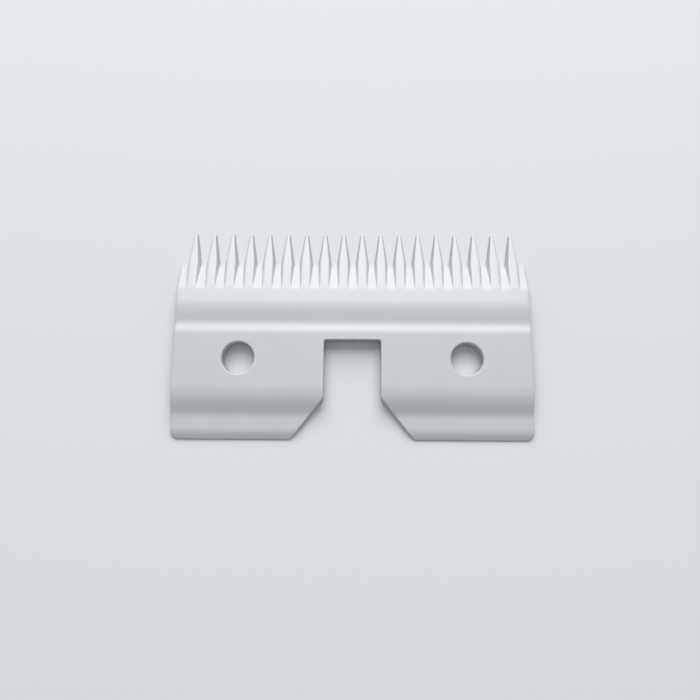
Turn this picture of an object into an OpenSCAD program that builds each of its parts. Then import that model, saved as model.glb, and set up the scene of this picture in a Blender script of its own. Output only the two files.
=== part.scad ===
// Ceramic clipper blade, the moving cutter of a hair clipper
// One sintered piece: a ribbed plate with a row of tapered teeth, two bores and a drive notch
// X runs along the row of teeth, +Y points to the tooth tips, +Z out of the ribbed face
// The origin is the centre of the footprint, on the ground face that slides on the comb

/* [Plate] */
// Width of the blade along the row of teeth
blade_w = 44; // [38:0.5:56]
// Length of the blade from the tooth tips to the back edge
blade_l = 26; // [25:0.5:34]
// Height of the level seat that carries the pressure spring
seat_h = 2; // [1.9:0.05:2.6]
// Radius of the two outer corners of the back edge
back_corner_r = 1; // [0.3:0.1:2]

/* [Teeth] */
// Number of teeth
tooth_n = 18; // [12:1:22]
// Length of the teeth from the tips to the floor of the gullets
tooth_l = 4.3; // [3.5:0.1:5.2]
// Width of a tooth across its tip, at the ground face
tip_w = 0.47; // [0.36:0.01:0.6]
// Radius of a tooth's nose, seen from above
tip_r = 0.3; // [0.25:0.01:0.4]
// Thickness of a tooth at its tip
tip_h = 0.4; // [0.3:0.02:0.6]
// Radius of the gullet between two teeth, at the ground face
gullet_r = 0.34; // [0.25:0.01:0.45]
// Lean of the tooth flanks from upright, in degrees
flank_lean = 13.5; // [6:0.5:16]
// Width of the plain shoulder beyond the last gullet at each end
shoulder_w = 0.49; // [0.2:0.01:1.5]
// Thickness of the blade at the front edge of a gullet
gullet_edge_h = 0.3; // [0.15:0.01:0.5]

/* [Front profile] */
// Length of the straight bevel from the tips to the foot of the crown
bevel_l = 7.35; // [6.6:0.05:8]
// Height at the end of the bevel
bevel_h = 1.78; // [1.5:0.02:1.85]
// Distance from the tips to the crown's peak
crown_l = 9.9; // [9:0.1:10.6]
// Height of the crown's peak before it is rounded
crown_h = 2.08; // [1.95:0.01:2.3]
// Radius that rounds the crown
crown_r = 7; // [1:0.5:9]
// Distance from the tips to the bottom of the valley
valley_l = 11.95; // [11.4:0.05:12.4]
// Height of the valley's bottom before it is rounded
valley_h = 1.76; // [1.5:0.01:1.85]
// Radius in the bottom of the valley
valley_r = 2.5; // [0.5:0.1:3]
// Distance from the tips to the front edge of the seat
seat_l = 12.95; // [12.6:0.05:13.6]
// Radius that rounds the front edge of the seat
seat_r = 3.5; // [0.5:0.1:4]

/* [Back profile] */
// Run of the slope from the seat down to the heel
slope_l = 2.25; // [1.6:0.05:3]
// Radius that rounds the back edge of the seat
slope_r = 5; // [1:0.1:6]
// Length of the low heel along the back edge
heel_l = 2.9; // [2.2:0.1:3.4]
// Height of the heel at the foot of the slope
heel_h = 0.88; // [0.75:0.01:1.2]
// Radius in the crease at the foot of the slope
heel_r = 2.2; // [0.3:0.1:3]
// Distance before the back edge where the heel turns down
turn_l = 0.9; // [0.5:0.05:1.3]
// Height of the heel where it turns down
turn_h = 0.73; // [0.5:0.01:0.75]
// Radius of that turn
turn_r = 2.3; // [0.3:0.1:3]
// Height of the back edge
edge_h = 0.24; // [0.1:0.01:0.45]

/* [Bores] */
// Diameter of the two through bores
bore_d = 4; // [2:0.1:5.5]
// Distance between the centres of the bores
bore_pitch = 28; // [22:0.5:32]
// Distance from the tips to the centres of the bores
bore_l = 16.3; // [16:0.1:17.5]

/* [Drive notch] */
// Width of the notch that the drive finger works in
notch_w = 7; // [5:0.1:9]
// Distance from the tips to the notch's closed end
notch_l = 14; // [13.6:0.1:16]
// Radius in the notch's inner corners
notch_r = 0.35; // [0.1:0.05:1]
// Width of the notch's flared mouth at the back edge
mouth_w = 15; // [12:0.5:17]
// Depth of the flared mouth
mouth_l = 4.9; // [3:0.1:6]
// Radius on the corners of the mouth
mouth_r = 0.7; // [0.1:0.05:1.2]

/* [Ground face] */
// Length of the front land that slides on the comb
front_land_l = 9; // [8.2:0.1:11]
// Length of the back land that slides on the comb
back_land_l = 4; // [3:0.1:5]
// Depth of the hollow between the two lands
hollow_h = 0.25; // [0.1:0.01:0.5]

/* [Hidden] */
$fn = 96;
over = 1;
// Most of a straight side that the rounding at one of its ends may take
side_share = 0.48;
// Largest angle between two neighbouring points of a rounding, in degrees
arc_step = 5;
// Angle between the points of a tooth's nose
nose_step = 15;
blade_color = [0.93, 0.95, 0.95];
tip_y = blade_l / 2;
back_y = -blade_l / 2;
top_h = max(seat_h, crown_h) + over;
pitch = (blade_w - 2 * shoulder_w) / tooth_n;
lean = tan(flank_lean);
// Slopes of the ramp that each gullet climbs and of the bevel along the tops of the teeth
ramp_slope = (bevel_h - gullet_edge_h) / (bevel_l - tooth_l);
bevel_slope = (bevel_h - tip_h) / bevel_l;
// Centre of the round end of a gullet
root_y = tip_y - tooth_l + gullet_r + lean * gullet_edge_h;
// Sideways taper of a flank, from the gullet to the tip and from the gullet back along the ramp
tooth_taper = (pitch / 2 - gullet_r - tip_w / 2) / (tip_y - root_y);
ramp_taper = lean * bevel_slope;
// Corners of the upper profile from the tips to the back edge, each as [y, z, radius]
UPPER = [
    [tip_y, tip_h, 0],
    [tip_y - bevel_l, bevel_h, 0],
    [tip_y - crown_l, crown_h, crown_r],
    [tip_y - valley_l, valley_h, valley_r],
    [tip_y - seat_l, seat_h, seat_r],
    [back_y + heel_l + slope_l, seat_h, slope_r],
    [back_y + heel_l, heel_h, heel_r],
    [back_y + turn_l, turn_h, turn_r],
    [back_y, edge_h, 0]
];
LOWER = [
    [back_y, 0],
    [back_y + back_land_l, 0],
    [back_y + back_land_l + hollow_h, hollow_h],
    [tip_y - front_land_l - hollow_h, hollow_h],
    [tip_y - front_land_l, 0],
    [tip_y, 0]
];
// Corners of the outline on the +X side, from the notch's closed end round to the front, as [x, y, radius]
SIDE = [
    [0, tip_y - notch_l, 0],
    [notch_w / 2, tip_y - notch_l, notch_r],
    [notch_w / 2, back_y + mouth_l, mouth_r],
    [mouth_w / 2, back_y, mouth_r],
    [blade_w / 2, back_y, back_corner_r],
    [blade_w / 2, tip_y - tip_r, 0]
];

function xy(p) = [p[0], p[1]];
function unit(a, b) = (b - a) / norm(b - a);
function cross_z(a, b) = a[0] * b[1] - a[1] * b[0];
// Angle by which the path a, b, c turns left at b
function turn(a, b, c) = asin(cross_z(unit(a, b), unit(b, c)));
// Radius at corner b, limited so that neighbouring roundings never meet
function fit_r(a, b, c, r) = min(r, side_share * min(norm(b - a), norm(c - b)) / tan(abs(turn(a, b, c)) / 2));
// Points of the arc of radius r that is tangent to both sides of corner b
function arc(a, b, c, r) =
    let (
        bend = turn(a, b, c),
        fit = fit_r(a, b, c, r),
        start = b - fit * tan(abs(bend) / 2) * unit(a, b),
        inward = sign(bend) * [-unit(a, b)[1], unit(a, b)[0]],
        n = ceil(abs(bend) / arc_step)
    )
    [for (i = [0 : n])
        let (t = bend * i / n)
        start + fit * (1 - cos(t)) * inward + fit * abs(sin(t)) * unit(a, b)];
// Corners given as [x, y, radius], with an arc of points in place of each one that has a radius
function rounded(path) = [
    for (i = [0 : len(path) - 1])
        each path[i][2] > 0 && i > 0 && i < len(path) - 1
            ? arc(xy(path[i - 1]), xy(path[i]), xy(path[i + 1]), path[i][2])
            : [xy(path[i])]
];

// Points of a half circle that rounds a tooth's nose, from right to left
function nose(x) = [
    for (t = [0 : nose_step : 180])
        [x + tip_r * cos(t), tip_y - tip_r + tip_r * sin(t)]
];
function reversed(list) = [for (i = [len(list) - 1 : -1 : 0]) list[i]];

// Cross-section of the plate: hollow ground face below, crown, valley, seat, slope and heel above
module profile() {
    polygon(concat(rounded(UPPER), LOWER));
}

// Outline of the plate from above, with a round nose in front of each tooth
module outline() {
    side = rounded(SIDE);
    noses = [for (i = [tooth_n - 1 : -1 : 0]) each nose((i + 0.5 - tooth_n / 2) * pitch)];
    other_side = [for (p = reversed(side)) if (p[0] > 0) [-p[0], p[1]]];
    polygon(concat(side, noses, other_side));
}

module plate() {
    intersection() {
        rotate([90, 0, 90]) linear_extrude(blade_w + 2 * over, center = true) profile();
        translate([0, 0, -over]) linear_extrude(top_h + over) outline();
    }
}

// Space on the -X side of one leaning flank, which passes the gullet's radius at the root
module flank_side(taper, dir) {
    reach = blade_l / 2;
    translate([gullet_r, root_y, 0])
        rotate([0, atan(lean * cos(atan(taper))), -dir * atan(taper)])
            translate([-reach, dir > 0 ? -over : -reach, -reach]) cube([reach, reach + over, 2 * reach]);
}

// Space between two flanks, in front of the root for dir 1 and behind it for dir -1
module flank_gap(taper, dir, depth) {
    intersection() {
        flank_side(taper, dir);
        mirror([1, 0, 0]) flank_side(taper, dir);
        translate([-pitch, dir > 0 ? root_y : root_y - depth, -over])
            cube([2 * pitch, depth, top_h + 2 * over]);
    }
}

// Side view of the space above a gullet's ramp, open towards the tips
module ramp_profile(front_y) {
    edge_y = tip_y - tooth_l;
    ramp_l = bevel_l - tooth_l + over;
    polygon([
        [front_y, gullet_edge_h - ramp_slope * (front_y - edge_y)],
        [edge_y - ramp_l, gullet_edge_h + ramp_slope * ramp_l],
        [edge_y - ramp_l, top_h + over],
        [front_y, top_h + over]
    ]);
}

// Cutter for one gullet: tapered gap between the teeth, round root and ramp up to the crown
module gullet() {
    flank_gap(tooth_taper, 1, tip_y - root_y + over);
    translate([0, root_y, -over])
        cylinder(r1 = gullet_r - lean * over, r2 = gullet_r + lean * top_h, h = top_h + over);
    intersection() {
        flank_gap(ramp_taper, -1, bevel_l);
        rotate([90, 0, 90]) linear_extrude(2 * pitch, center = true) ramp_profile(root_y + over);
    }
}

// Cutter for the shoulder beyond the last gullet: the middle of a gullet, carried out to the end
module shoulder() {
    wall_y = root_y - gullet_r;
    rotate([90, 0, 90]) linear_extrude(shoulder_w + over) {
        polygon([
            [wall_y + lean * over, -over],
            [wall_y - lean * gullet_edge_h, gullet_edge_h],
            [wall_y - lean * gullet_edge_h, top_h],
            [tip_y + over, top_h],
            [tip_y + over, -over]
        ]);
        ramp_profile(wall_y);
    }
}

module gullets() {
    for (i = [0 : tooth_n])
        translate([(i - tooth_n / 2) * pitch, 0, 0]) gullet();
    for (s = [0, 1])
        mirror([s, 0, 0]) translate([tooth_n / 2 * pitch, 0, 0]) shoulder();
}

module bores() {
    for (s = [-1, 1])
        translate([s * bore_pitch / 2, tip_y - bore_l, -over]) cylinder(d = bore_d, h = top_h + over);
}

module cutter_blade() {
    color(blade_color)
        difference() {
            plate();
            gullets();
            bores();
        }
}

cutter_blade();
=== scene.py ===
"""Look of a ceramic clipper blade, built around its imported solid.

The blade is one sintered piece, so the scene has one finished mesh. Its faces are surfaces worked out on
grids: a side profile carried across the blade, leaning flanks and ramps for the teeth, and small rounded
edges all round. Lengths inside the classes are in millimetres and become metres when the mesh is made.
"""

import logging
import math
from dataclasses import dataclass, field

import bmesh
import bpy
import numpy as np
from mathutils import Euler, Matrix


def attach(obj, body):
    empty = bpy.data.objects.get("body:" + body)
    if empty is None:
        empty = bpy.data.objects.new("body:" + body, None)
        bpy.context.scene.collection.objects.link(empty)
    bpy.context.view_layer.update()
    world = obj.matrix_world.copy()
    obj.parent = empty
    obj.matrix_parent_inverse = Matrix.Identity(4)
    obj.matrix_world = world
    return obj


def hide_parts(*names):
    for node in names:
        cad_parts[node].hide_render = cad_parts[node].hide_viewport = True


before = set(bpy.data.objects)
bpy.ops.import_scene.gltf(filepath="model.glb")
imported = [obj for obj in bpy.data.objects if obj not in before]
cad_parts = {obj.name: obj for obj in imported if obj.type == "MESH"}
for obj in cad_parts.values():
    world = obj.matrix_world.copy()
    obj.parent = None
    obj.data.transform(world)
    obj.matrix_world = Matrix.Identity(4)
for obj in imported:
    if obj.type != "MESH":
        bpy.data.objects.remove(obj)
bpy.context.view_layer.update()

logging.basicConfig(level=logging.INFO, format="%(name)s: %(message)s")
log = logging.getLogger("clipper_blade")

MM = 0.001
NODE = "cutter_blade"

# Driving sizes of the blade, in millimetres. TIP_Y is where the tips lie in the shared frame.
BLADE_W = 44.0
BLADE_L = 26.0
TIP_Y = BLADE_L / 2
TEETH = 18
TOOTH_L = 4.3
TIP_H = 0.4
SHOULDER_W = 0.49
BEVEL_L = 7.35
BEVEL_H = 1.78
SEAT_H = 2.0
SLOPE_S = 20.85
NOTCH_L = 14.0


def srgb(code: str) -> tuple[float, float, float, float]:
    """Linear colour of an sRGB hex code.

    Args:
        code: six hex digits, with or without a leading hash.

    Returns:
        Linear red, green and blue, and an alpha of 1.
    """
    code = code.lstrip("#")
    parts = [int(code[i : i + 2], 16) / 255 for i in (0, 2, 4)]
    r, g, b = (p / 12.92 if p <= 0.04045 else ((p + 0.055) / 1.055) ** 2.4 for p in parts)
    return r, g, b, 1.0


def smoothstep(t: np.ndarray) -> np.ndarray:
    """Eased step 3t^2 - 2t^3 of t clamped to 0..1."""
    t = np.clip(t, 0, 1)
    return t * t * (3 - 2 * t)


def soft_min(a: np.ndarray, b: np.ndarray, k: np.ndarray) -> np.ndarray:
    """Lower of two heights, rounded off where they differ by less than k.

    Args:
        a: first height.
        b: second height.
        k: span of the rounding, in the same unit.

    Returns:
        min(a, b) less h^2 / 4k, with h = k - |a - b| where that is positive.
    """
    k = np.maximum(k, 1e-9)
    h = np.maximum(k - np.abs(a - b), 0)
    return np.minimum(a, b) - h * h / (4 * k)


def soft_max(a: np.ndarray, b: np.ndarray, k: np.ndarray) -> np.ndarray:
    """Higher of two heights, filled in where they differ by less than k."""
    return -soft_min(-a, -b, k)


def edge_drop(d: np.ndarray, r: float) -> np.ndarray:
    """Drop of a rounded edge: a quarter circle of radius r over the distance d from the edge."""
    inside = np.clip(r - d, 0, r)
    return r - np.sqrt(np.maximum(r * r - inside * inside, 0))


def rounded_path(
    corners: list[tuple[float, float, float]], step: float = 1.0
) -> tuple[np.ndarray, np.ndarray]:
    """Path through corners, each rounded by an arc that is tangent to both sides.

    Args:
        corners: (a, b, radius) of each corner; a radius of 0 keeps it sharp.
        step: largest angle between arc points, in degrees.

    Returns:
        Points (n, 2) and unit normals (n, 2) on the left of the path.
    """
    xy = np.array([c[:2] for c in corners], float)
    points, normals = [], []
    ways = np.diff(xy, axis=0)
    ways /= np.linalg.norm(ways, axis=1)[:, None]
    lefts = np.stack([-ways[:, 1], ways[:, 0]], 1)
    for i, (_, _, r) in enumerate(corners):
        if i in (0, len(corners) - 1):
            points.append(xy[i][None])
            normals.append(lefts[min(i, len(lefts) - 1)][None])
            continue
        before, after = ways[i - 1], ways[i]
        bend = math.asin(float(before[0] * after[1] - before[1] * after[0]))
        n = max(2, math.ceil(abs(math.degrees(bend)) / step) + 1)
        t = np.linspace(0, bend, n)[:, None]
        side = math.copysign(1.0, bend)
        start = xy[i] - r * math.tan(abs(bend) / 2) * before
        arc = start + r * (side * (1 - np.cos(t)) * lefts[i - 1] + np.abs(np.sin(t)) * before)
        points.append(arc)
        normals.append(np.cos(t) * lefts[i - 1] - np.sin(t) * before)
    return np.concatenate(points), np.concatenate(normals)


class Shell:
    """Collects patches of points and faces, welds them and makes one closed mesh."""

    def __init__(self) -> None:
        """Start with no points and no faces."""
        self.points: list[np.ndarray] = []
        self.faces: list[np.ndarray] = []
        self.count = 0

    def add(self, x: np.ndarray, s: np.ndarray, z: np.ndarray) -> np.ndarray:
        """Add points.

        Args:
            x: place along the row of teeth.
            s: distance back from the tips.
            z: height over the ground face.

        Returns:
            Index of each point, in the shape of the arguments.
        """
        x, s, z = np.broadcast_arrays(x, s, z)
        index = np.arange(self.count, self.count + x.size).reshape(x.shape)
        self.points.append(np.stack([x.ravel(), s.ravel(), z.ravel()], 1))
        self.count += x.size
        return index

    def quads(self, index: np.ndarray, keep: np.ndarray | None = None) -> None:
        """Join a grid of points by quads.

        Args:
            index: point indices, with the grid in the last two axes.
            keep: which cells of the grid get a face; all where it is None.
        """
        a, b = index[..., :-1, :-1], index[..., :-1, 1:]
        c, d = index[..., 1:, 1:], index[..., 1:, :-1]
        faces = np.stack([a, b, c, d], -1)
        if keep is not None:
            faces = faces[np.broadcast_to(keep, faces.shape[:-1])]
        self.faces.append(faces.reshape(-1, 4))

    def zipper(self, fine: np.ndarray, fine_x: np.ndarray, coarse: np.ndarray, coarse_x: np.ndarray) -> None:
        """Join a row of many points to a row of fewer by triangles.

        Each fine point belongs to the nearest coarse one. Every fine edge makes a triangle with the
        coarse point of its first end, and every change of coarse point makes one more.

        Args:
            fine: indices of the row with more points.
            fine_x: their places along the row, rising.
            coarse: indices of the row with fewer points.
            coarse_x: their places along the row, rising.
        """
        near = np.searchsorted((coarse_x[:-1] + coarse_x[1:]) / 2, fine_x)
        near[0], near[-1] = 0, len(coarse) - 1
        a, b = near[:-1], near[1:]
        fans = np.stack([fine[:-1], fine[1:], coarse[a], coarse[a]], 1)
        step = b > a
        joins = np.stack([fine[1:][step], coarse[b[step]], coarse[a[step]], coarse[a[step]]], 1)
        self.faces += [fans, joins]

    def mesh(self, name: str, weld: float) -> bpy.types.Mesh:
        """Mirror the half blade, weld its seams and make the mesh.

        Args:
            name: name of the mesh.
            weld: largest gap that is closed, in millimetres.

        Returns:
            A closed mesh in metres, with its faces outwards.
        """
        half = np.concatenate(self.points)
        faces = np.concatenate(self.faces)
        other = half * (-1, 1, 1)
        points = np.concatenate([half, other])
        faces = np.concatenate([faces, faces[:, ::-1] + len(half)])
        co = np.stack([points[:, 0], TIP_Y - points[:, 1], points[:, 2]], 1) * MM
        mesh = bpy.data.meshes.new(name)
        polygons = [[v for n, v in enumerate(f) if v not in f[:n]] for f in faces.tolist()]
        mesh.from_pydata(co.tolist(), [], polygons)
        bm = bmesh.new()
        bm.from_mesh(mesh)
        bmesh.ops.remove_doubles(bm, verts=bm.verts, dist=weld * MM)
        bmesh.ops.dissolve_degenerate(bm, edges=bm.edges, dist=weld * MM)
        bmesh.ops.delete(bm, geom=[v for v in bm.verts if not v.link_faces], context="VERTS")
        bmesh.ops.recalc_face_normals(bm, faces=bm.faces)
        open_edges = sum(1 for e in bm.edges if len(e.link_faces) != 2)
        log.info("%s: %d points, %d faces, %d open edges", name, len(bm.verts), len(bm.faces), open_edges)
        bm.to_mesh(mesh)
        bm.free()
        return mesh


@dataclass
class SideProfile:
    """Section of the plate from the tips to the back edge, as heights over the distance from the tips."""

    corners: list[tuple[float, float, float]] = field(
        default_factory=lambda: [
            (0, TIP_H, 0),
            (BEVEL_L, BEVEL_H, 1.5),
            (9.9, 2.08, 7),  # crown
            (11.95, 1.76, 2.5),  # valley
            (12.95, SEAT_H, 3.5),
            (SLOPE_S, SEAT_H, 5),
            (23.1, 0.88, 2.2),  # foot of the slope
            (25.1, 0.73, 2.3),  # end of the heel
            (BLADE_L, 0.24, 0),
        ]
    )
    hollow: tuple[tuple[float, float], ...] = ((9.0, 0), (9.25, 0.25), (21.75, 0.25), (22.0, 0))

    def __post_init__(self) -> None:
        """Work out the rounded section once."""
        self.line, _ = rounded_path(self.corners, 0.5)

    def top(self, s: np.ndarray) -> np.ndarray:
        """Height of the ribbed face at a distance s from the tips."""
        return np.interp(s, self.line[:, 0], self.line[:, 1])

    def ground(self, s: np.ndarray) -> np.ndarray:
        """Height of the ground face: 0 on its two lands, and the hollow between them."""
        return np.interp(s, *np.array(self.hollow).T)

    def rows(
        self, start: float, end: float, fixed: np.ndarray, turn: float = 2.0, gap: float = 0.42
    ) -> np.ndarray:
        """Rows that follow the bends of the section.

        The measure along s grows by the turned angle over `turn` and by the length over `gap`, and the
        rows stand at even steps of it. Rows that come too close to a fixed one give way.

        Args:
            start: first row.
            end: last row.
            fixed: rows that must be there.
            turn: largest turn between two rows, in degrees.
            gap: largest distance between two rows.

        Returns:
            Rising distances from the tips.
        """
        samples, window, clear = 4001, 61, 0.11
        s = np.linspace(start, end, samples)
        slope = np.degrees(np.arctan(np.gradient(self.top(s), s)))
        kernel = np.hanning(window) / np.hanning(window).sum()
        bend = np.abs(np.gradient(np.convolve(np.pad(slope, window // 2, "edge"), kernel, "valid")))
        measure = np.concatenate([[0], np.cumsum(bend[1:] / turn + np.diff(s) / gap)])
        n = math.ceil(measure[-1])
        free = np.interp(np.linspace(0, measure[-1], n + 1), measure, s)
        fixed = np.unique(np.concatenate([[start, end], fixed[(fixed >= start) & (fixed <= end)]]))
        near = np.abs(free[:, None] - fixed[None]).min(1)
        return np.unique(np.concatenate([fixed, free[near > clear]]))


@dataclass
class ToothCell:
    """One tooth with half a gullet on each side, as a height field over the ground face.

    The flanks lean back as they rise, the gullet's root is a cone, and behind it a ramp climbs to the
    end of the bevel between two parallel fingers.
    """

    pitch: float = (BLADE_W - 2 * SHOULDER_W) / TEETH
    tooth_l: float = TOOTH_L
    tip_w: float = 0.47
    tip_r: float = 0.3
    gullet_r: float = 0.34
    lean: float = math.tan(math.radians(13.5))
    gullet_edge_h: float = 0.3
    bevel_l: float = BEVEL_L
    bevel_h: float = BEVEL_H
    bevel_slope: float = (BEVEL_H - TIP_H) / BEVEL_L
    end_l: float = 7.9
    nose_edge: float = 0.1
    top_soft: float = 0.22
    foot_soft: float = 0.3
    rim_soft: float = 0.12
    end_soft: float = 0.12
    turn_l: float = 0.75
    fade_l: float = 0.3
    fade_h: float = 0.3
    brow_w: float = 0.05
    blend_l: float = 0.04
    tooth_lines: int = 8
    arc_angles: tuple[float, ...] = (15, 32, 50, 70, 90)
    floor_shares: tuple[float, ...] = (0.93, 0.83, 0.62, 0.33, 0.0)

    @property
    def half(self) -> float:
        """Half the pitch."""
        return self.pitch / 2

    @property
    def root(self) -> float:
        """Distance of the root cone's axis from the tips."""
        return self.tooth_l - self.gullet_r - self.lean * self.gullet_edge_h

    @property
    def ramp_slope(self) -> float:
        """Rise of the ramp per millimetre."""
        return (self.bevel_h - self.gullet_edge_h) / (self.bevel_l - self.tooth_l)

    def base_gap(self, s: np.ndarray) -> np.ndarray:
        """Half width of the gullet at the ground face, in front of its root and behind it."""
        taper = (self.half - self.gullet_r - self.tip_w / 2) / self.root
        ahead = self.root - s
        return self.gullet_r + np.where(ahead > 0, taper * ahead, self.lean * self.bevel_slope * ahead)

    def ramp(self, s: np.ndarray) -> np.ndarray:
        """Height of the ramp."""
        return self.gullet_edge_h + self.ramp_slope * (s - self.tooth_l)

    def height(self, x: np.ndarray, s: np.ndarray, profile: SideProfile) -> np.ndarray:
        """Height of the upper surface.

        The flank climbs by 1 / lean per millimetre from its base line, the cone likewise from the root's
        arc, and the surface is min(top, min(cone, max(ramp, flank))) with every edge softened.

        Args:
            x: distance from the tooth's middle, 0 to half the pitch.
            s: distance back from the tips.
            profile: section of the plate.

        Returns:
            Height over the ground face.
        """
        gap, back = self.half - x, s - self.root
        flank = (gap - self.base_gap(s)) / self.lean
        cone = (np.hypot(gap, back) - self.gullet_r) / self.lean
        ramp = self.ramp(s)
        fade = smoothstep(back / self.fade_l)
        inner = soft_max(np.minimum(cone, flank), soft_min(cone, ramp, self.rim_soft * fade), self.foot_soft * fade)
        inner = np.where(back > 0, inner, flank)
        wall = np.where(back > 0, smoothstep((flank - ramp) / self.fade_h), 1.0)
        top = soft_min(profile.top(s), inner, self.end_soft + (self.top_soft - self.end_soft) * wall)
        drop = edge_drop(s - self.nose(x), self.nose_edge)
        return np.maximum(top - drop * np.clip(top / (2 * self.nose_edge), 0, 1), 0)

    def nose(self, x: np.ndarray) -> np.ndarray:
        """Distance by which the round nose falls back at x from the tooth's middle."""
        x = np.clip(np.abs(x), 0, self.tip_r)
        return self.tip_r - np.sqrt(self.tip_r**2 - x**2)

    def tooth_columns(self, s: np.ndarray, profile: SideProfile) -> np.ndarray:
        """Columns from the tooth's middle over its top edge down to the foot of its flank.

        Args:
            s: distance back from the tips, one column of points per column of the result.
            profile: section of the plate.

        Returns:
            Distance from the tooth's middle for each point.
        """
        back = np.maximum(s - self.root, 0)
        foot = self.base_gap(s) + self.lean * self.ramp(s) * (back > 0)
        blend = 1 - np.exp(-back / self.blend_l)
        foot = np.where(back > 0, self.gullet_r + (foot - self.gullet_r) * blend, foot)
        ahead = np.minimum(s, self.root)
        edge = self.half - self.base_gap(ahead) - self.lean * profile.top(ahead)
        band = np.maximum(self.half - foot - edge, 0.1)
        columns = [0 * edge, 0.45 * edge, edge - self.brow_w, edge - self.brow_w / 2, edge]
        columns += [edge + share * band for share in (0.22, 0.48, 0.78, 1.0)]
        return np.stack(np.broadcast_arrays(*columns), -1)

    def rows(self) -> tuple[np.ndarray, int]:
        """Rows of the cell.

        Returns:
            Distances from the tips, and the index of the row at the root.
        """
        r = self.nose_edge
        nose = r * (1 - np.sin(np.radians([90, 64, 40, 18, 0])))
        front = np.concatenate([nose, [0.2, 0.34, 0.55, 0.8], np.linspace(1.08, 3.4, 9), [3.6, 3.76]])
        turn = self.turn_l * np.array([0, 0.04, 0.09, 0.14, 0.18, 0.23, 0.32, 0.45, 0.65, 1])
        climb = np.linspace(self.root + self.turn_l, self.bevel_l, 13)[1:]
        end = np.linspace(self.bevel_l, self.end_l, 4)[1:]
        return np.concatenate([front, self.root + turn, climb, end]), len(front)

    def grid(self, profile: SideProfile) -> tuple[np.ndarray, np.ndarray, np.ndarray, int]:
        """Points of one whole cell.

        Args:
            profile: section of the plate.

        Returns:
            x from the tooth's middle, s and z, each (rows, columns), and the index of the root's row.
        """
        base, root_row = self.rows()
        lines, floors = self.tooth_lines, len(self.arc_angles)
        s = np.repeat(base[:, None], lines + 1, 1)
        bow = 1 - smoothstep((base - 0.1) / 0.7)
        x = np.zeros_like(s)
        # the columns depend on s and the nose on the columns, so both settle together
        for _ in range(6):
            x = np.stack([self.tooth_columns(s[:, j], profile)[:, j] for j in range(lines + 1)], 1)
            s = base[:, None] + self.nose(x) * bow[:, None]
        foot = self.half - x[:, -1]
        floor_x = self.half - foot[:, None] * np.array(self.floor_shares)
        floor_s = np.repeat(base[:, None], floors, 1)
        angle = np.radians(self.arc_angles)
        arc_x, arc_s = self.half - self.gullet_r * np.cos(angle), self.root + self.gullet_r * np.sin(angle)
        last = root_row + int(np.argmin(np.abs(base[root_row:] - self.root - self.turn_l)))
        t = ((base[root_row : last + 1] - self.root) / self.turn_l)[:, None]
        floor_x[root_row : last + 1] = arc_x + (floor_x[last] - arc_x) * t
        floor_s[root_row : last + 1] = arc_s + (base[last] - arc_s) * t
        x, s = np.concatenate([x, floor_x], 1), np.concatenate([s, floor_s], 1)
        z = self.height(x, s, profile)
        z[:root_row, lines] = 0
        z[root_row, lines:] = 0
        mirrored = [np.concatenate([sign * a[:, :0:-1], a], 1) for sign, a in ((-1, x), (1, s), (1, z))]
        return *mirrored, root_row


@dataclass
class PlateOutline:
    """Outline of one half of the plate behind its teeth, as (x, s) with the material's edge rounded."""

    half_w: float = BLADE_W / 2
    length: float = BLADE_L
    corner_r: float = 1.0
    notch_half: float = 3.5
    notch_l: float = NOTCH_L
    notch_r: float = 0.35
    mouth_half: float = 7.5
    mouth_s: float = 21.1
    mouth_r: float = 0.7
    edge: float = 0.12

    def __post_init__(self) -> None:
        """Work out the edge along the notch and the edge along the side."""
        notch = [
            (0, self.notch_l, 0),
            (self.notch_half, self.notch_l, self.notch_r),
            (self.notch_half, self.mouth_s, self.mouth_r),
            (self.mouth_half, self.length, self.mouth_r),
            (self.half_w - self.corner_r, self.length, 0),
        ]
        side = [
            (self.half_w, 0, 0),
            (self.half_w, self.length, self.corner_r),
            (self.mouth_half + self.mouth_r, self.length, 0),
        ]
        self.notch = self._inset(*rounded_path(notch), 1.0)
        self.side = self._inset(*rounded_path(side), -1.0)

    def _inset(self, points: np.ndarray, left: np.ndarray, sign: float) -> tuple[np.ndarray, ...]:
        """Edge points, outward normals, and the same line moved into the material by the edge radius."""
        outward = left * sign
        return points, outward, points - self.edge * outward

    def at_row(self, line: tuple[np.ndarray, ...], s: np.ndarray) -> tuple[np.ndarray, np.ndarray]:
        """Where rows meet the inset line.

        Args:
            line: edge points, outward normals and inset points.
            s: distances from the tips, which the inset line passes once each.

        Returns:
            Edge points and outward normals for the rows.
        """
        points, outward, inset = line
        keep = np.concatenate([[True], np.diff(inset[:, 1]) > 1e-9])
        along = inset[keep, 1]
        p = np.stack([np.interp(s, along, points[keep, n]) for n in (0, 1)], 1)
        o = np.stack([np.interp(s, along, outward[keep, n]) for n in (0, 1)], 1)
        return p, o / np.linalg.norm(o, axis=1)[:, None]


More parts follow.
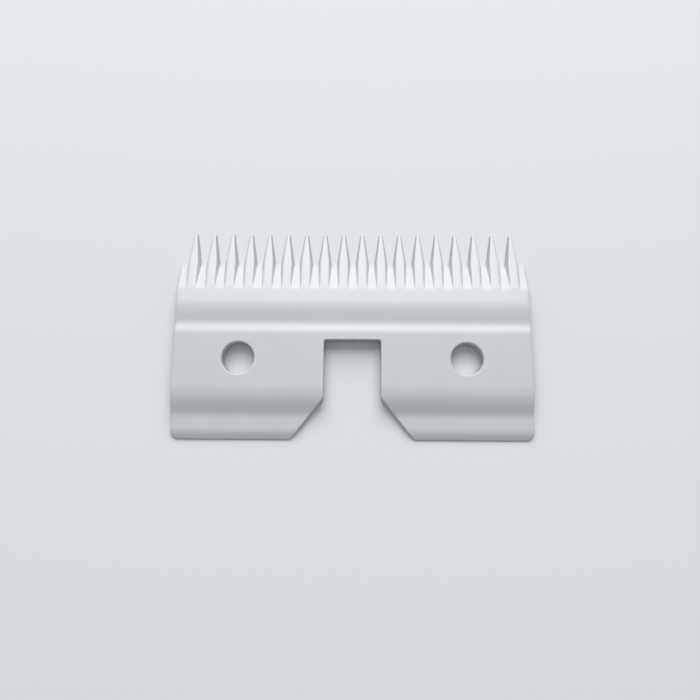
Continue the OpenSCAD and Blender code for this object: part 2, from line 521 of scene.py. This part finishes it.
@dataclass
class CutterBlade:
    """The whole ceramic cutter: toothed front, plate, bores and drive notch."""

    profile: SideProfile = field(default_factory=SideProfile)
    cell: ToothCell = field(default_factory=ToothCell)
    outline: PlateOutline = field(default_factory=PlateOutline)
    teeth: int = TEETH
    bore_x: float = 14.0
    bore_s: float = 16.3
    bore_r: float = 2.0
    block: float = 2.8
    first_row: float = 8.12
    edge_steps: int = 5
    chamfer: float = 0.04
    chamfer_start: float = 4.6
    chamfer_run: float = 1.5

    def strip_steps(self) -> tuple[np.ndarray, np.ndarray]:
        """Distances from the edge and drops over a rounded edge, from its inner to its outer line."""
        t = np.linspace(0, math.pi / 2, self.edge_steps)
        r = self.outline.edge
        return r * (1 - np.sin(t)), r * (1 - np.cos(t))

    def edge_chamfer(self, s: np.ndarray) -> np.ndarray:
        """Broken lower edge, which fades out towards the keen edges of the teeth."""
        return self.chamfer * smoothstep((s - self.chamfer_start) / self.chamfer_run)

    def wall(self, shell: Shell, p: np.ndarray, o: np.ndarray, top: np.ndarray) -> None:
        """Upright wall under an edge, with a small chamfer at the ground face.

        Args:
            shell: collects the faces.
            p: edge points (n, 2) as (x, s).
            o: outward normals.
            top: height of the wall's upper line.
        """
        c = self.edge_chamfer(p[:, 1])
        low = self.profile.ground(p[:, 1])
        inner = p - c[:, None] * o
        x = np.stack([p[:, 0], p[:, 0], inner[:, 0]])
        s = np.stack([p[:, 1], p[:, 1], inner[:, 1]])
        z = np.stack([top, np.minimum(low + c, top), self.profile.ground(inner[:, 1])])
        shell.quads(shell.add(x, s, z))

    def build(self) -> bpy.types.Mesh:
        """Mesh of the whole blade."""
        shell = Shell()
        fine = self._toothed_front(shell)
        self._plate(shell, fine)
        return shell.mesh(NODE, 0.0008)

    def _toothed_front(self, shell: Shell) -> tuple[np.ndarray, np.ndarray, np.ndarray]:
        """Teeth, gullets and shoulder of one half.

        Returns:
            Indices of the last row on the ribbed face and on the ground face, and its places along x.
        """
        cell, half_count = self.cell, self.teeth // 2
        x, s, z, root_row = cell.grid(self.profile)
        lines = cell.tooth_lines
        mid = x.shape[1] // 2
        row, column = np.indices((x.shape[0] - 1, x.shape[1] - 1))
        keep = (row >= root_row) | ((column >= mid - lines) & (column < mid + lines))
        centres = (np.arange(half_count) + 0.5) * cell.pitch
        xs = x[None] + centres[:, None, None]
        upper = shell.add(xs, s[None], z[None])
        lower = shell.add(xs, s[None], self.profile.ground(s)[None])
        shell.quads(upper, keep[None])
        shell.quads(lower, keep[None])
        nose = slice(mid - lines, mid + lines + 1)
        shell.quads(np.stack([upper[:, 0, nose], lower[:, 0, nose]], 1))
        # plain shoulder beyond the last gullet
        start = centres[-1] + cell.half
        inset = self.outline.half_w - self.outline.edge
        back_s, back_z = s[root_row:, -1], z[root_row:, -1]
        out, drop = self.strip_steps()
        flat = np.linspace(start, inset, 4)
        sx = np.concatenate([flat, self.outline.half_w - out[1:]])
        fall = np.concatenate([0 * flat, drop[1:]])
        share = np.clip(back_z / (2 * self.outline.edge), 0, 1)
        upper_side = shell.add(sx[None], back_s[:, None], back_z[:, None] - fall[None] * share[:, None])
        shell.quads(upper_side)
        edge = np.stack([np.full_like(back_s, self.outline.half_w), back_s], 1)
        c = self.edge_chamfer(back_s)[:, None]
        low_out = c + out[None, 1:] * (1 - c / self.outline.edge)
        low_x = np.concatenate([np.repeat(flat[None], len(back_s), 0), self.outline.half_w - low_out], 1)
        lower_side = shell.add(low_x, back_s[:, None], self.profile.ground(back_s)[:, None])
        shell.quads(lower_side)
        outward = np.repeat([[1.0, 0.0]], len(back_s), 0)
        self.wall(shell, edge, outward, back_z - self.outline.edge * share)
        row_x = np.concatenate([*[xs[n, -1, :-1] for n in range(half_count)], flat])
        row_up = np.concatenate([*[upper[n, -1, :-1] for n in range(half_count)], upper_side[-1, :4]])
        row_low = np.concatenate([*[lower[n, -1, :-1] for n in range(half_count)], lower_side[-1, :4]])
        return row_up, row_low, row_x

    def _plate(self, shell: Shell, fine: tuple[np.ndarray, np.ndarray, np.ndarray]) -> None:
        """Plate of one half behind the teeth, with its bore, notch and rounded edges."""
        out = self.outline
        e = out.edge
        centre_s = out.notch_l + out.notch_r
        notch_arc = centre_s - (out.notch_r + e) * np.cos(np.radians(np.linspace(0, 90, 7)))
        side_arc = out.length - out.corner_r + (out.corner_r - e) * np.sin(np.radians(np.linspace(0, 90, 11)))
        end = out.length - e
        block = (self.bore_s - self.block, self.bore_s + self.block)
        steps = [n for n, _ in self.profile.hollow]
        # rows through the bend where the notch opens into its mouth
        mouth = np.linspace(20.85, 21.35, 5)
        fixed = np.concatenate([notch_arc, side_arc, block, steps, mouth])
        rows = self.profile.rows(self.first_row, end, fixed)
        first_notch = int(np.argmin(np.abs(rows - notch_arc[0])))
        left_p, left_o = out.at_row(out.notch, rows[first_notch:])
        right_p, right_o = out.at_row(out.side, rows)
        left_in = left_p - e * left_o
        right_in = right_p - e * right_o
        left_x = np.concatenate([np.full(first_notch, left_in[0, 0]), left_in[:, 0]])
        marks = [np.zeros_like(rows), left_x, np.full_like(rows, self.bore_x - self.block)]
        marks += [np.full_like(rows, self.bore_x + self.block), right_in[:, 0]]
        # columns over the end of the notch, up to the bore's block, over the block and out to the side
        counts = (8, 18, 14, 12)
        parts = [
            a[:, None] + (b - a)[:, None] * np.linspace(0, 1, n + 1)[None, :]
            for a, b, n in zip(marks, marks[1:], counts)
        ]
        x = np.concatenate([p[:, (0 if n == 0 else 1) :] for n, p in enumerate(parts)], 1)
        s = np.repeat(rows[:, None], x.shape[1], 1)
        s[-1, counts[0] :] = end
        row, column = np.indices((x.shape[0] - 1, x.shape[1] - 1))
        r0, r1 = (int(np.argmin(np.abs(rows - b))) for b in block)
        c0 = counts[0] + counts[1]
        c1 = c0 + counts[2]
        keep = ~((row >= r0) & (row < r1) & (column >= c0) & (column < c1))
        keep &= ~((row >= first_notch) & (column < counts[0]))
        for surface, row_index in ((self.profile.top, 0), (self.profile.ground, 1)):
            index = shell.add(x, s, surface(s))
            shell.quads(index, keep)
            shell.zipper(fine[row_index], fine[2], index[0], x[0])
        self._bore(shell, x, s, (r0, r1, c0, c1))
        # the whole edge from the middle of the notch round to the first row
        end_x = x[first_notch, : counts[0]]
        last_x = x[-1, counts[0] + 1 : -1]
        p = np.concatenate([
            np.stack([end_x, np.full_like(end_x, out.notch_l)], 1),
            left_p,
            np.stack([last_x, np.full_like(last_x, out.length)], 1),
            right_p[::-1],
            [[out.half_w, self.cell.end_l]],
        ])
        o = np.concatenate([
            np.repeat([[0.0, 1.0]], len(end_x), 0),
            left_o,
            np.repeat([[0.0, 1.0]], len(last_x), 0),
            right_o[::-1],
            [[1.0, 0.0]],
        ])
        away, drop = self.strip_steps()
        strip = p[None] - away[:, None, None] * o[None]
        z = self.profile.top(strip[..., 1]) - drop[:, None]
        shell.quads(shell.add(strip[..., 0], strip[..., 1], z))
        c = self.edge_chamfer(p[:, 1])[:, None]
        low = p[None] - (c + away[:, None, None] * (1 - c / e)) * o[None]
        shell.quads(shell.add(low[..., 0], low[..., 1], self.profile.ground(low[..., 1])))
        self.wall(shell, p, o, z[-1])

    def _bore(self, shell: Shell, x: np.ndarray, s: np.ndarray, block: tuple[int, int, int, int]) -> None:
        """Rings of quads from the square block round a bore to its rounded rim, and the bore's wall."""
        r0, r1, c0, c1 = block
        ring = [
            (x[r0, c0:c1], s[r0, c0:c1]),
            (x[r0:r1, c1], s[r0:r1, c1]),
            (x[r1, c1:c0:-1], s[r1, c1:c0:-1]),
            (x[r1:r0:-1, c0], s[r1:r0:-1, c0]),
            (x[r0, c0 : c0 + 1], s[r0, c0 : c0 + 1]),
        ]
        square = np.stack([np.concatenate([a for a, _ in ring]), np.concatenate([b for _, b in ring])], 1)
        centre = np.array([self.bore_x, self.bore_s])
        way = square - centre
        way /= np.linalg.norm(way, axis=1)[:, None]
        e = self.outline.edge
        rim = centre + (self.bore_r + e) * way
        share = np.array([0, 0.3, 0.58, 0.82, 1])[:, None, None]
        rings = square[None] + (rim - square)[None] * share
        away, drop = self.strip_steps()
        edge = centre + (self.bore_r + away[1:, None, None]) * way[None]
        top = np.concatenate([rings, edge])
        fall = np.concatenate([np.zeros(len(share)), drop[1:]])[:, None]
        shell.quads(shell.add(top[..., 0], top[..., 1], self.profile.top(top[..., 1]) - fall))
        p = centre + self.bore_r * way
        c = self.edge_chamfer(p[:, 1])[:, None]
        low = np.concatenate([rings, (p + c * way)[None]])
        shell.quads(shell.add(low[..., 0], low[..., 1], self.profile.ground(low[..., 1])))
        self.wall(shell, p, -way, self.profile.top(p[:, 1]) - e)

    def dress(self) -> bpy.types.Object:
        """Build the piece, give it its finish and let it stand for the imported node."""
        mesh = self.build()
        piece = bpy.data.objects.new("ceramic_cutter", mesh)
        bpy.context.scene.collection.objects.link(piece)
        mesh.shade_smooth()
        mesh.set_sharp_from_angle(angle=math.radians(38))
        weighted = piece.modifiers.new("even_normals", "WEIGHTED_NORMAL")
        weighted.keep_sharp = True
        mesh.materials.append(SinteredZirconia().material())
        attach(piece, "root")
        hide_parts(NODE)
        return piece


def add_node(
    tree: bpy.types.NodeTree, kind: str, links: dict | None = None, **settings: object
) -> bpy.types.Node:
    """Add a shader node.

    Args:
        tree: node tree that gets the node.
        kind: Blender's identifier of the node.
        links: input name or number to an output socket or a fixed value.
        settings: attributes of the node.

    Returns:
        The new node.
    """
    node = tree.nodes.new(kind)
    for name, value in settings.items():
        setattr(node, name, value)
    for name, value in (links or {}).items():
        if isinstance(value, bpy.types.NodeSocket):
            tree.links.new(value, node.inputs[name])
        else:
            node.inputs[name].default_value = value
    return node


@dataclass(frozen=True)
class SinteredZirconia:
    """White zirconia, pressed, sintered and lapped: dense, cool white, with a silky sheen."""

    colour: str = "DDE3E6"
    shade: str = "D6DCDF"
    roughness: float = 0.42
    ior: float = 1.9

    def material(self) -> bpy.types.Material:
        """Node material of the finish."""
        material = bpy.data.materials.new("sintered_zirconia")
        material.use_nodes = True
        tree = material.node_tree
        tree.nodes.clear()
        place = add_node(tree, "ShaderNodeTexCoord").outputs["Object"]
        # faint clouding of the fired colour, about 4 mm from patch to patch
        cloud = add_node(tree, "ShaderNodeTexNoise", {"Vector": place, "Scale": 260.0, "Detail": 3.0})
        tint = add_node(
            tree,
            "ShaderNodeMix",
            {0: cloud.outputs["Fac"], "A": srgb(self.colour), "B": srgb(self.shade)},
            data_type="RGBA",
        )
        # lapped grain of 0.1 mm: the real one is a few microns wide, so it is drawn coarser to show
        grain = add_node(tree, "ShaderNodeTexNoise", {"Vector": place, "Scale": 9000.0, "Detail": 2.0})
        bump = add_node(
            tree,
            "ShaderNodeBump",
            {"Height": grain.outputs["Fac"], "Strength": 0.06, "Distance": 0.00002},
        )
        shader = add_node(
            tree,
            "ShaderNodeBsdfPrincipled",
            {
                "Base Color": tint.outputs["Result"],
                "Roughness": self.roughness,
                "IOR": self.ior,
                "Normal": bump.outputs["Normal"],
            },
        )
        add_node(tree, "ShaderNodeOutputMaterial", {"Surface": shader.outputs["BSDF"]})
        return material


@dataclass(frozen=True)
class Studio:
    """Pale floor, soft light from beyond the teeth and the camera over the blade."""

    floor_colour: str = "F2F6FA"
    floor_bounce: str = "2C2E30"
    floor_reach: float = 1.5
    world_colour: str = "FFFFFF"
    world_strength: float = 0.33
    key_watts: float = 2.9
    key_place: tuple[float, float, float] = (0.0, 0.42, 0.40)
    key_size: float = 0.5
    lens_mm: float = 36.0
    camera_place_mm: tuple[float, float, float] = (0.089, -15.06, 86.955)
    camera_turn: tuple[float, float, float] = (13.844, 0.207, 0.366)
    shift_y: float = -65 / 700

    def floor(self) -> None:
        """Plain floor under the blade, pale to the eye and dark to the light that it throws back."""
        mesh = bpy.data.meshes.new("floor")
        r = self.floor_reach
        mesh.from_pydata([(-r, -r, 0), (r, -r, 0), (r, r, 0), (-r, r, 0)], [], [(0, 1, 2, 3)])
        floor = bpy.data.objects.new("floor", mesh)
        bpy.context.scene.collection.objects.link(floor)
        material = bpy.data.materials.new("matt_floor")
        material.use_nodes = True
        tree = material.node_tree
        tree.nodes.clear()
        path = add_node(tree, "ShaderNodeLightPath").outputs
        seen = path["Is Camera Ray"]
        for ray in ("Is Glossy Ray", "Is Transmission Ray"):
            rays = {0: seen, 1: path[ray]}
            seen = add_node(tree, "ShaderNodeMath", rays, operation="ADD", use_clamp=True).outputs[0]
        colour = add_node(
            tree,
            "ShaderNodeMix",
            {0: seen, "A": srgb(self.floor_bounce), "B": srgb(self.floor_colour)},
            data_type="RGBA",
        )
        shader = add_node(
            tree,
            "ShaderNodeBsdfPrincipled",
            {"Base Color": colour.outputs["Result"], "Roughness": 0.9, "Specular IOR Level": 0.1},
        )
        add_node(tree, "ShaderNodeOutputMaterial", {"Surface": shader.outputs["BSDF"]})
        mesh.materials.append(material)

    def lights(self) -> None:
        """Large soft window light beyond the teeth, and an even fill from all round."""
        scene = bpy.context.scene
        world = bpy.data.worlds.new("soft_room")
        world.use_nodes = True
        background = world.node_tree.nodes["Background"]
        background.inputs["Color"].default_value = srgb(self.world_colour)
        background.inputs["Strength"].default_value = self.world_strength
        scene.world = world
        data = bpy.data.lights.new("window", "AREA")
        data.energy, data.size = self.key_watts, self.key_size
        lamp = bpy.data.objects.new("window", data)
        lamp.location = self.key_place
        x, y, z = self.key_place
        lamp.rotation_euler = Euler((-math.atan2(y, z), 0, 0))
        scene.collection.objects.link(lamp)

    def camera(self) -> None:
        """Camera over the blade, tilted a little towards the teeth as in the photograph."""
        data = bpy.data.cameras.new("camera")
        data.lens, data.sensor_width = self.lens_mm, 36.0
        data.shift_y = self.shift_y
        data.clip_start = 0.005
        camera = bpy.data.objects.new("camera", data)
        camera.location = [c * MM for c in self.camera_place_mm]
        camera.rotation_euler = Euler([math.radians(a) for a in self.camera_turn])
        bpy.context.scene.collection.objects.link(camera)
        bpy.context.scene.camera = camera


def main() -> None:
    """Build the blade and its studio, and report each piece."""
    bpy.context.scene.view_settings.view_transform = "Standard"
    studio = Studio()
    studio.camera()
    studio.lights()
    studio.floor()
    piece = CutterBlade().dress()
    log.info("%s stands for %s", piece.name, NODE)


if __name__ == "__main__":
    main()
